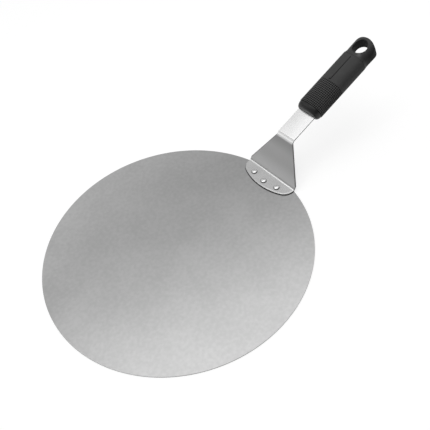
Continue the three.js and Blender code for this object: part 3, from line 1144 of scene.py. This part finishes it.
def tang_slot():
    """The cutter for the slot that the tang fills."""
    half_width = tang_half_width + seat_gap
    half_height = sheet_thickness / 2 + seat_gap
    corners = [(-half_width, -half_height), (half_width, -half_height),
               (half_width, half_height), (-half_width, half_height)]
    points = [(x, y, z) for x in (-overrun, tang_length + seat_gap) for y, z in corners]
    return new_piece("cutter", points, ring_faces(2, len(corners)), handle_frame)


def add_posts(core):
    """Puts the plastic that fills the tang's holes into the core's mesh."""
    radius = anchor_hole_radius - seat_gap
    made = bmesh.new()
    made.from_mesh(core.data)
    for share in anchor_shares:
        bmesh.ops.create_cone(made, cap_ends=True, segments=round_points, radius1=radius, radius2=radius,
                              depth=2 * overrun, matrix=anchor_place(share))
    made.to_mesh(core.data)
    made.free()


print("each post is", round(2 * (anchor_hole_radius - seat_gap) / MM, 1), "mm thick")

# %% [markdown]
# A moulding has no sharp edges. A bevel would fail where the loft, the trim and the hole meet at odd
# angles, so the finished skin is rebuilt from small even cells and relaxed a little, which rounds
# every edge by about half a millimetre.

# %% Handle core
core_cell = 0.35 * MM
core_relaxing = 0.5
core_relax_steps = 2


def make_core():
    """The core: lofted, trimmed, pierced, and rounded over as a moulding is."""
    sections = core_sections()
    points = [point for ring in sections for point in ring]
    faces = ring_faces(len(sections), len(core_angles))
    core = new_piece("handle_core_moulding", points, faces, handle_frame)
    trim = tail_trim()
    work(core, "BOOLEAN", operation="INTERSECT", object=trim, solver="EXACT")
    settle(core)
    bpy.data.objects.remove(trim)
    drill(core, [hanging_hole(), tang_slot()])
    add_posts(core)
    work(core, "REMESH", mode="VOXEL", voxel_size=core_cell)
    work(core, "SMOOTH", factor=core_relaxing, iterations=core_relax_steps)
    settle(core)
    core.data.shade_smooth()
    finish_piece(core, "handle_core", core_finish)
    return core


handle_core = make_core()
print("the core has", len(handle_core.data.polygons), "faces")

# %% [markdown]
# The sleeve is rubber moulded over the core. Its front half is knurled: a net of fine raised lines,
# about 2.4 mm apart both ways, with a small pit in each mesh. Its rear half is plain, with one fine
# groove along the top and a dimple at the groove's front end. The knurl is real geometry, because a
# bump would leave the outline smooth: the skin is a grid whose rows and columns follow the lines, eight
# to a mesh of the net, and each point is pushed in, square to the surface, as deep as the pit is there.

# %% Knurl and groove depths
knurl_lines = 40
knurl_rings = 15
steps_per_mesh = 8
knurl_pitch = 2.38 * MM
pit_depth = 0.9 * MM
ridge_sharpness = 2
top_groove_depth = 0.6 * MM
top_groove_half_width = 0.8 * MM
top_groove_start = 44.9 * MM
top_groove_end = 81.4 * MM
top_groove_fade = 0.5 * MM
dimple_radius = 1.2 * MM
dimple_offset = 1.3 * MM
plain_row_length = 0.6 * MM
sleeve_joint = 0.03 * MM
sleeve_start = nose_length + sleeve_joint
sleeve_end = tail_start - sleeve_joint
sleeve_edge_radius = 0.25 * MM
sleeve_edge_steps = 5
knurl_start = sleeve_start + sleeve_edge_radius
knurl_end = knurl_start + knurl_rings * knurl_pitch


def ridge(phase):
    """1 on a raised line, where phase is whole, and 0 half way between two lines."""
    return ((1 + math.cos(2 * math.pi * phase)) / 2) ** ridge_sharpness


def step_between(low, high, value):
    """A smooth step from 0 at low to 1 at high."""
    share = min(max((value - low) / (high - low), 0), 1)
    return share * share * (3 - 2 * share)


def knurl_depth(along, column):
    """How deep the skin lies in the knurl, at a place along the sleeve and a column round it."""
    if not knurl_start <= along <= knurl_end:
        return 0
    between_rings = 1 - ridge((along - knurl_start) / knurl_pitch)
    between_lines = 1 - ridge(column / steps_per_mesh)
    return pit_depth * between_rings * between_lines


def top_groove(along, point):
    """How deep the skin lies in the groove on top or in the dimple at its front end."""
    if point.z < handle_rise:
        return 0
    across = 1 - step_between(top_groove_half_width / 3, top_groove_half_width, abs(point.y))
    start = step_between(top_groove_start - top_groove_fade, top_groove_start, along)
    end = 1 - step_between(top_groove_end, top_groove_end + top_groove_fade, along)
    away = math.hypot(along - top_groove_start, point.y - dimple_offset)
    dimple = 1 - step_between(dimple_radius / 2, dimple_radius, away)
    return top_groove_depth * max(across * start * end, dimple)


print("the knurl runs from", round(knurl_start / MM, 1), "to", round(knurl_end / MM, 1), "mm")

# %% [markdown]
# The sleeve's rubber is the same black, but duller, with a coarser grain. The knurl's raised lines are
# painted grey, for the wear of hands and for a painted sheen where they catch light, and the pits between
# them are painted nearly black as shade, since light hardly reaches them. How deep a point lies is worked
# out from its place: the sleeve's section is a superellipse, and the same formula gives 1 on its skin and
# less below it. That follows the real pits, where a pattern wouldn't.

# %% Rubber of the sleeve
rubber_grain_size = 0.45 * MM
rubber_grain_height = 0.05 * MM
rubber_wear_size = 7 * MM
rubber_wear_contrast = (0.3, 0.75)
rubber_specular = 0.3
sleeve_mean_radius = 14.5 * MM
pit_shares = (0.05, 0.5)
pit_grey = grey(0.002)
# The ridges' grey is wear and a painted sheen; the pits' near black is painted shade.
ridge_wear_and_sheen_grey = grey(0.074)
plain_dark = grey(0.042)
plain_bright = grey(0.050)
rubber_roughness = 0.56
rubber_wear_roughness = 0.12
rubber_grain_roughness = 0.1


def pressed_share(shader):
    """0 on the sleeve's skin and 1 at the bottom of a pit."""
    place = shader.place()
    across = abs(shader.part(place, "Y")) * (2 / grip_front_width)
    upward = abs(shader.part(place, "Z") - handle_rise) * (2 / grip_front_height)
    reach = (across ** section_power + upward ** section_power) ** (1 / section_power)
    return (1 - reach) * (sleeve_mean_radius / pit_depth)


def grip_rubber(shader):
    """Moulded rubber: coarse grain, raised lines with wear and painted sheen, pits in painted shade, plain
    rear half.
    """
    grain = shader.noise(rubber_grain_size, detail=3)
    wear = shader.noise(rubber_wear_size, detail=3)
    deep = pressed_share(shader).ramp(*pit_shares)
    plain = wear.ramp(*rubber_wear_contrast).blend(plain_dark, plain_bright)
    behind_knurl = shader.part(shader.place(), "X").ramp(knurl_end - knurl_pitch / 2, knurl_end)
    skin = behind_knurl.blend(ridge_wear_and_sheen_grey, plain)
    # The ridges' grey is wear and painted sheen; the pits' near black is painted shade.
    return shader.principled(
        Base_Color=deep.blend(skin, pit_grey),
        Roughness=rubber_roughness + wear * rubber_wear_roughness + grain * rubber_grain_roughness,
        Specular_IOR_Level=rubber_specular,
        Normal=shader.bump(grain, rubber_grain_height),
    )


rubber_finish = finished_material("grip_moulded_rubber", grip_rubber)
print("finishes:", ", ".join(sorted(material.name for material in bpy.data.materials)))

# %% [markdown]
# The columns have to be evenly spaced round the sleeve, or the knurl's meshes would be wide on the
# flats and narrow at the corners. The angles for that are found by walking round a section in small
# steps and noting the angle each time another even share of the way is done.

# %% Grip sleeve
walk_steps = 7200
sleeve_sharp_angle = math.radians(60)


def even_angles(count):
    """Angles whose points on the sleeve's section are evenly spaced, from the middle of its top."""
    angles = [math.pi / 2 + 2 * math.pi * step / walk_steps for step in range(walk_steps + 1)]
    walk = grip_section(grip_start, 0, angles)
    lengths = [0]
    for before, after in zip(walk, walk[1:]):
        lengths.append(lengths[-1] + (after - before).length)
    found = []
    step = 0
    for index in range(count):
        while lengths[step + 1] < lengths[-1] * index / count:
            step += 1
        found.append(angles[step])
    return found


def sleeve_rows():
    """The places along the sleeve's outer skin, each with how far the skin is drawn in there."""
    radius = sleeve_edge_radius
    turns = [math.pi / 2 * step / sleeve_edge_steps for step in range(sleeve_edge_steps)]
    edge = [(radius * (1 - math.cos(turn)), radius * (1 - math.sin(turn))) for turn in turns]
    rows = [(sleeve_start + inward, inset) for inward, inset in edge]
    knurl_rows = knurl_rings * steps_per_mesh
    rows += [(mix(knurl_start, knurl_end, row / knurl_rows), 0) for row in range(knurl_rows + 1)]
    plain_end = sleeve_end - radius
    plain_rows = round((plain_end - knurl_end) / plain_row_length)
    rows += [(mix(knurl_end, plain_end, row / plain_rows), 0) for row in range(1, plain_rows + 1)]
    rows += [(sleeve_end - inward, inset) for inward, inset in reversed(edge)]
    return rows


def pressed_in(ring, along):
    """A section of the sleeve with the knurl and the groove pressed into it."""
    pressed = []
    for column, point in enumerate(ring):
        before = ring[column - 1]
        after = ring[(column + 1) % len(ring)]
        outward = Vector((0, after.z - before.z, before.y - after.y)).normalized()
        depth = max(knurl_depth(along, column), top_groove(along, point))
        pressed.append(point - depth * outward)
    return pressed


def make_sleeve():
    """The sleeve: its pressed-in outer skin and its plain inner skin, closed into one shell."""
    angles = even_angles(knurl_lines * steps_per_mesh)
    rings = []
    for along, inset in sleeve_rows():
        rings.append(pressed_in(grip_section(along, inset, angles), along))
    rings.append(grip_section(sleeve_end, grip_wall, angles))
    rings.append(grip_section(sleeve_start, grip_wall, angles))
    count = len(angles)
    faces = ring_faces(len(rings), count, closed_ends=False)
    last = (len(rings) - 1) * count
    for index in range(count):
        following = (index + 1) % count
        faces.append((last + index, last + following, following, index))
    points = [point for ring in rings for point in ring]
    sleeve = new_piece("grip_sleeve_knurled", points, faces, handle_frame)
    sleeve.data.shade_smooth()
    sleeve.data.set_sharp_from_angle(angle=sleeve_sharp_angle)
    finish_piece(sleeve, "grip_sleeve", rubber_finish)
    return sleeve


grip_sleeve = make_sleeve()
print("the sleeve has", len(grip_sleeve.data.polygons), "faces")

# %% [markdown]
# Satin steel shows the room, not its own colour, so the studio is what makes it look like steel. A wide
# soft light hangs over the peel and towards its near side, so the blade brightens from its far edge to
# its near edge. A second one stands low on the left and lights what faces it, and a small bright one
# above it puts the short highlights on the rivets and the nose. The room is paler on the left than on
# the right and dark near the floor, which darkens the lines along the flange's edge and round the
# rivets, together with the painted shade there.

# %% Studio light
soft_light_place = Vector((0.31, -0.11, 1.3))
soft_light_size = (1.46, 1.58)
soft_light_turn = math.radians(-15.5)
soft_light_level = 1.17
side_light_place = Vector((-0.55, 0.53, 0.45))
side_light_size = (0.5, 0.35)
side_light_level = 0.9
spot_light_place = Vector((-0.33, 0.27, 0.86))
spot_light_size = (0.1, 0.1)
spot_light_level = 10
handle_middle = Vector((0.22, 0, 0.06))
room_level = 0.43
room_slope_x = -0.32
room_slope_y = 0.52
room_least = 0.18
horizon_share = 0.25
full_room_height = 0.4


def make_lamp(name, place, target, size, level):
    """A rectangle of light that shines at a target; level is about what white shows beside it."""
    data = bpy.data.lights.new(name, "AREA")
    data.shape = "RECTANGLE"
    data.size, data.size_y = size
    data.energy = level * math.pi * data.size * data.size_y
    lamp = bpy.data.objects.new(name, data)
    lamp.location = place
    lamp.rotation_euler = (place - target).to_track_quat("Z", "Y").to_euler()
    lamp.visible_camera = False
    bpy.context.scene.collection.objects.link(lamp)
    print(f"{name}: {data.energy:.2f} watts")
    return lamp


def make_room():
    """The room's light from each direction, brighter to one side and dark near the horizon."""
    world = bpy.data.worlds.new("studio_room")
    world.use_nodes = True
    bpy.context.scene.world = world
    shader = Shader(world.node_tree)
    way = shader.node("ShaderNodeTexCoord", output="Generated")
    across = shader.part(way, "X") * room_slope_x + shader.part(way, "Y") * room_slope_y
    wall = shader.math("MAXIMUM", across + room_level, room_least)
    height = shader.part(way, "Z").ramp(0, full_room_height)
    level = wall * (horizon_share + height * (1 - horizon_share))
    surface = shader.node("ShaderNodeBackground", None, {"Color": grey(1), "Strength": level})
    shader.end("ShaderNodeOutputWorld", surface)


under_soft_light = soft_light_place - Vector((0, 0, 1))
soft_light = make_lamp("soft_light", soft_light_place, under_soft_light, soft_light_size, soft_light_level)
soft_light.rotation_euler.z = soft_light_turn
make_lamp("side_light", side_light_place, handle_middle, side_light_size, side_light_level)
make_lamp("spot_light", spot_light_place, handle_middle, spot_light_size, spot_light_level)
make_room()

# %% [markdown]
# The floor is a plain matt sheet. For the camera and for what metal reflects it also glows a little,
# so that it reads as white while the peel still darkens it where it stands. It is see-through from
# below, so that the peel's underside can be looked at. More light would whiten it too, but would
# bleach the steel.

# %% Floor
floor_half_size = 4
floor_colour = 0.4
floor_glow = 0.69


def floor_surface(shader):
    """Matt from above with a glow that only the eye and reflections see, and clear from below."""
    camera_ray = shader.node("ShaderNodeLightPath", output="Is Camera Ray")
    glossy_ray = shader.node("ShaderNodeLightPath", output="Is Glossy Ray")
    through_ray = shader.node("ShaderNodeLightPath", output="Is Transmission Ray")
    seen = shader.math("MAXIMUM", shader.math("MAXIMUM", camera_ray, glossy_ray), through_ray)
    matt = shader.node("ShaderNodeBsdfDiffuse", None, {"Color": grey(floor_colour)})
    glow = shader.node("ShaderNodeEmission", None, {"Strength": floor_glow})
    bright = shader.node("ShaderNodeAddShader", None, {0: matt, 1: glow})
    above = shader.node("ShaderNodeMixShader", None, {0: seen, 1: matt, 2: bright})
    clear = shader.node("ShaderNodeBsdfTransparent")
    from_below = shader.node("ShaderNodeNewGeometry", output="Backfacing")
    return shader.node("ShaderNodeMixShader", None, {0: from_below, 1: above, 2: clear})


def make_floor():
    """One square face under the peel."""
    size = floor_half_size
    corners = [(-size, -size, 0), (size, -size, 0), (size, size, 0), (-size, size, 0)]
    floor = new_piece("floor", corners, [(0, 1, 2, 3)])
    floor.data.materials.append(finished_material("matt_floor", floor_surface))
    return floor


floor = make_floor()
print("the floor is", floor.dimensions.x, "m wide")

# %% [markdown]
# Last, the picture's colours are shown as they are, with no film look.

# %% Finish
bpy.context.scene.view_settings.view_transform = "Standard"
